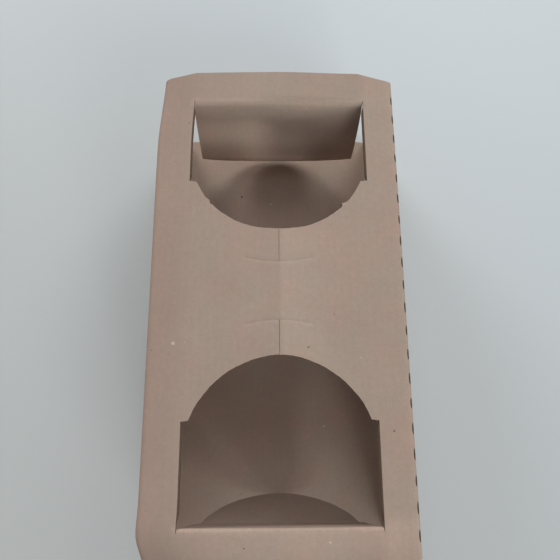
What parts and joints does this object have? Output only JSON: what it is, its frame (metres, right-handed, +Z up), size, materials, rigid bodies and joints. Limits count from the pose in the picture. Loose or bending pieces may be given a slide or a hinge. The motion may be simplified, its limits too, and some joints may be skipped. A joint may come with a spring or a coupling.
{
  "type": "cardboard cup carrier",
  "caption": "Folded kraft board sleeve that carries two cups upright in arched openings braced by their own folded flaps.",
  "frame": {"origin": "middle of the underside of the bottom panel, which is the face that the carrier stands on", "axes": "+X across the carrier towards the perforated fold, +Y along it towards the far end, +Z up"},
  "size_m": [0.11, 0.216, 0.0675],
  "materials": {
    "kraft_board": "matt uncoated brown kraft with fine flecks and fibres"
  },
  "bodies": {
    "root": {"carrier": "kraft_board"}
  },
  "joints": []
}
